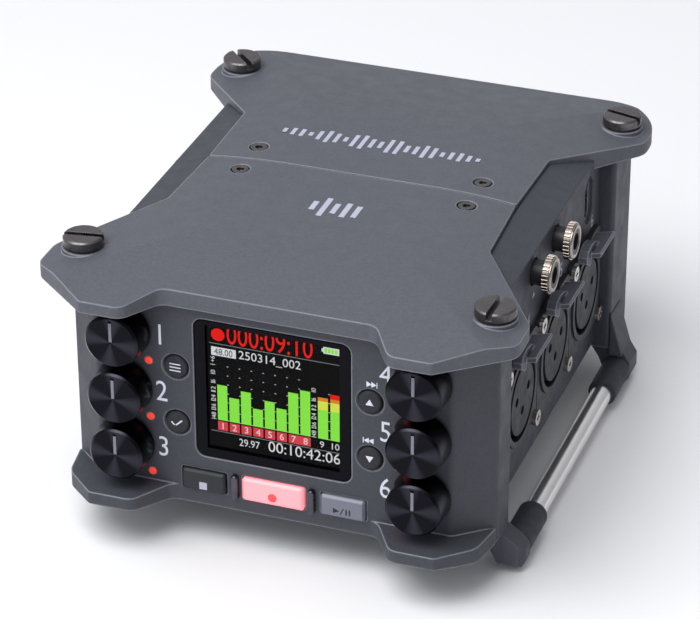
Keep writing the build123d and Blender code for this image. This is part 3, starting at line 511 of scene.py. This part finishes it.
menu_lines = [box_outline(-1.2, z - 0.13, 1.2, z + 0.13) for z in (0.75, 0.0, -0.75)]
drawing("menu_sign", menu_lines, on_button("menu_button"), print_white, "menu_button")
tick = stroke_outlines([(-1.05, 0.05), (-0.35, -0.65), (1.05, 0.65)], 0.32)
drawing("enter_sign", tick, on_button("enter_button"), print_white, "enter_button")
for node, up in (("up_button", 1), ("down_button", -1)):
    triangle = [(-0.85, -0.6 * up), (0.85, -0.6 * up), (0.0, 0.8 * up)]
    drawing(node.replace("button", "sign"), [triangle], on_button(node), print_white, node)
    spot = middle(node)
    beside = facing_front(spot.x / MM, (spot.z - row_z) / MM + 4.0)
    drawing(node.replace("button", "skip_sign"), skip_sign(up), beside, print_white)

stop_square = [box_outline(-0.85, -0.85, 0.85, 0.85)]
drawing("stop_sign", stop_square, on_button("stop_button", -0.9), print_grey, "stop_button")
record_dot = [disc_outline(0, 0, 0.95)]
drawing("record_sign", record_dot, on_button("record_button", -0.7), dot_red, "record_button")
play_sign = [
    [(-1.9, -0.6), (-0.6, 0.0), (-1.9, 0.6)],
    box_outline(0.75, -0.65, 1.05, 0.65),
    box_outline(1.45, -0.65, 1.75, 0.65),
] + stroke_outlines([(-0.35, -0.65), (0.25, 0.65)], 0.2)
drawing("play_sign", play_sign, on_button("play_button", -0.7), print_dark, "play_button")


# ---------------------------------------------------------------- what the display shows
panel_depth = 1.05
screen_front = module_y - panel_depth * MM
panel_outline = box_outline(-14.9, -12.3, 14.9, 17.3)
drawing("screen_panel", [panel_outline], facing_front(0, 0, module_y), screen["back"], depth=panel_depth)


layer = 0.02  # each level of lit shapes stands this much further off the display, mm


def shown(name, outlines, colour, level=1):
    """Lit shapes on the display, in mm from the middle of the knob rows."""
    drawing(f"shown_{name}", outlines, facing_front(0, 0, screen_front), screen[colour], depth=layer * level)


def shown_numerals(name, text, height, x, z, colour, width=None, turned=0.0, level=2):
    place = facing_front(x, z, screen_front)
    depth = layer * level
    numerals(f"shown_{name}", text, height, place, screen[colour], width=width, turned=turned, depth=depth)


shown("record_dot", [disc_outline(-12.1, 13.95, 1.42)], "red")
shown_numerals("elapsed", "000:09:10", 4.5, -1.15, 14.5, "red", width=18.1)
battery_cells = [box_outline(10.35 + 0.72 * i, 14.25, 10.9 + 0.72 * i, 15.3) for i in range(4)]
shown("battery_cells", battery_cells, "green", 2)
shown("battery", [box_outline(10.1, 14.0, 13.5, 15.5), box_outline(9.75, 14.4, 10.1, 15.1)], "white")
shown("rules", [box_outline(-14.0, z - 0.06, 13.7, z + 0.06) for z in (11.87, -8.4)], "grey")
shown("rate_box", [box_outline(-13.6, 9.15, -8.35, 11.1)], "white")
shown_numerals("rate", "48.00", 1.45, -11.0, 10.1, "ink", width=3.9)
shown_numerals("take", "250314_002", 2.2, -1.2, 10.1, "white", width=13.1)

bar_foot = -5.7
bar_heights = (8.15, 5.6, 7.6, 4.1, 6.4, 5.2, 9.4, 10.35)
bar_pitch = 2.52
bar_width = 2.12
bar_start = -12.5
bar_lefts = [bar_start + bar_pitch * i for i in range(len(bar_heights))]
mix_lefts = (8.87, 11.5)
green_top, yellow_top, orange_top, red_top = 1.0, 3.0, 3.8, 4.9


def bar_part(left, low, high):
    return box_outline(left, low, left + bar_width, high)


bars = [bar_part(left, bar_foot, bar_foot + height) for left, height in zip(bar_lefts, bar_heights)]
shown("bars", bars + [bar_part(left, bar_foot, green_top) for left in mix_lefts], "green")
shown("bars_warm", [bar_part(left, green_top, yellow_top) for left in mix_lefts], "yellow")
shown("bars_hot", [bar_part(left, yellow_top, orange_top) for left in mix_lefts], "orange")
shown("bar_peak", [bar_part(mix_lefts[1], orange_top, red_top)], "red")

# The last two bars share one label box
label_low, label_high, label_z, label_height = -8.05, -6.0, -7.0, 1.45
label_boxes = [bar_part(left, label_low, label_high) for left in bar_lefts[:6]]
label_boxes.append(box_outline(bar_lefts[6], label_low, bar_lefts[7] + bar_width, label_high))
shown("label_boxes", label_boxes, "box")
for i, left in enumerate(bar_lefts):
    shown_numerals(f"label_{i + 1}", str(i + 1), label_height, left + bar_width / 2, label_z, "white")
shown_numerals("label_mix", "9  10", label_height, 11.3, label_z, "white")

tick_rows = [6.95 - 2.09 * i for i in range(7)]
half_line = 0.06


def tick_mark(left, right, z):
    return box_outline(left, z - half_line, right, z + half_line)


ticks = [tick_mark(left - 0.36, left - 0.04, z) for left in bar_lefts[1:] for z in tick_rows]
ticks += [tick_mark(mix_lefts[1] - 0.45, mix_lefts[1] - 0.07, z) for z in tick_rows[1:]]
shown("ticks", ticks, "white")
for column, x in (("left", -13.35), ("right", 8.0)):
    marks = (("0", 5.4), ("6", 3.2), ("12", 1.35), ("24", -0.7), ("36", -2.75), ("48", -4.75))
    for text, z in marks + ((("+6", 8.2),) if column == "left" else ()):
        shown_numerals(f"scale_{column}_{text.strip('+')}", text, 0.95, x, z, "white", turned=math.pi / 2)
    rows = tick_rows if column == "left" else tick_rows[1:]
    shown(f"scale_{column}", [tick_mark(x - 0.5, x + 0.5, z) for z in rows], "white")
shown_numerals("frames", "29.97", 1.7, -5.8, -10.05, "white", width=4.4)
shown_numerals("clock", "00:10:42:06", 2.45, 5.9, -9.75, "white", width=15.3)


# ---------------------------------------------------------------- prints on the covers and sides
def wave_bars(count, pitch, width, tallest, swings):
    """A row of upright bars that rise and fall like a sound wave."""
    outlines = []
    for i in range(count):
        x = (i - (count - 1) / 2) * pitch
        fade = math.cos(x / (count * pitch) * math.pi) ** 0.7
        half = tallest / 2 * (0.22 + 0.78 * abs(math.sin(swings * i + 0.6)) * fade)
        outlines.append(box_outline(x - width / 2, -half, x + width / 2, half))
    return outlines


rear_place, front_place = facing_up(-0.6, panel_y + 66.6 * MM), facing_up(0.2, panel_y + 36.3 * MM)
drawing("print_wave_rear", wave_bars(23, 1.95, 0.95, 6.6, 0.83), rear_place, print_grey)
drawing("print_wave_front", wave_bars(5, 2.3, 1.2, 9.0, 1.1), front_place, print_grey)

for number in range(1, 7):
    side = -1 if number < 4 else 1
    place = facing_side(side, middle(f"input_socket_{number}").y + 7.3 * MM, row_z + 8.8 * MM)
    numerals(f"input_number_{number}", str(number), 3.0, place, print_grey, narrow=0.9)

for node, side in (("line_jack", 1), ("timecode_jack", 1), ("headphone_jack", -1)):
    spot = middle(node)
    arrows = [[(-0.8, -0.45), (0.8, -0.45), (0.0, 0.75)]]
    drawing(f"sign_{node}", arrows, facing_side(side, spot.y, row_z + 13.3 * MM), print_grey)

power_sign = stroke_outlines(arc_points(0.9, 125, 415), 0.24) + [box_outline(-0.12, 0.1, 0.12, 1.25)]
power_spot = middle("power_slider")
power_place = facing_side(-1, power_spot.y + 1.7 * MM, power_spot.z + 3.6 * MM)
drawing("sign_power", power_sign, power_place, print_grey)


# ---------------------------------------------------------------- floor, light and camera
def plain_floor():
    made = bmesh.new()
    bmesh.ops.create_grid(made, x_segments=8, y_segments=8, size=6.0)
    mesh = bpy.data.meshes.new("floor")
    made.to_mesh(mesh)
    made.free()
    floor = bpy.data.objects.new("floor", mesh)
    bpy.context.collection.objects.link(floor)
    floor.data.materials.append(Surface("floor_pale", linear(244, 244, 246), 0.8).mottled(2, 0.01).material)
    floor.location.z = cad_box[0][2] - 0.02 * MM


def soft_box(name, place, aim, size, power, warmth=(1.0, 1.0, 1.0)):
    light = bpy.data.lights.new(name, "AREA")
    light.shape = "RECTANGLE"
    light.size, light.size_y = size
    light.energy = power
    light.color = warmth
    lamp = bpy.data.objects.new(name, light)
    bpy.context.collection.objects.link(lamp)
    lamp.location = place
    lamp.rotation_euler = (Vector(aim) - Vector(place)).to_track_quat("-Z", "Y").to_euler()


def pale_room():
    """Even light from every wall, weaker from the right-hand one."""
    world = bpy.data.worlds.new("room")
    bpy.context.scene.world = world
    world.use_nodes = True
    tree = world.node_tree
    background = tree.nodes["Background"]
    background.inputs["Color"].default_value = (0.95, 0.96, 1.0, 1.0)
    axes = tree.nodes.new("ShaderNodeSeparateXYZ")
    tree.links.new(tree.nodes.new("ShaderNodeTexCoord").outputs["Generated"], axes.inputs[0])
    fall = tree.nodes.new("ShaderNodeMapRange")
    tree.links.new(axes.outputs["X"], fall.inputs["Value"])
    for socket, value in (("From Min", 0.0), ("From Max", 0.9), ("To Min", 0.72), ("To Max", 0.25)):
        fall.inputs[socket].default_value = value
    tree.links.new(fall.outputs["Result"], background.inputs["Strength"])


def product_camera():
    """Looks down at the front from a little to the right, through a long lens."""
    distance = 0.7045
    azimuth, elevation, roll = math.radians(19.84), math.radians(29.44), math.radians(0.19)
    level = math.cos(elevation)
    back = Vector((math.sin(azimuth) * level, -math.cos(azimuth) * level, math.sin(elevation)))
    aim = Vector((-1.46, 0.14, 31.1)) * MM
    data = bpy.data.cameras.new("camera")
    data.lens = 171.94
    data.sensor_width = 36.0
    data.clip_start = 0.01
    camera = bpy.data.objects.new("camera", data)
    bpy.context.collection.objects.link(camera)
    camera.location = aim + back * distance
    turn = back.to_track_quat("Z", "Y").to_matrix().to_4x4()
    camera.rotation_euler = (turn @ Matrix.Rotation(-roll, 4, "Z")).to_euler()
    bpy.context.scene.camera = camera


plain_floor()
pale_room()
soft_box("overhead", (-0.15, -0.3, 0.65), (0, 0, 0.03), (0.6, 0.5), 4.4)
soft_box("front_left", (-0.5, -0.9, 0.45), (0, 0, 0.03), (0.5, 0.6), 0.5)
soft_box("right_strip", (0.9, 0.2, 0.5), (0, 0, 0.03), (0.2, 0.7), 0.2, (1.0, 0.97, 0.93))
product_camera()
bpy.context.scene.view_settings.view_transform = "Standard"
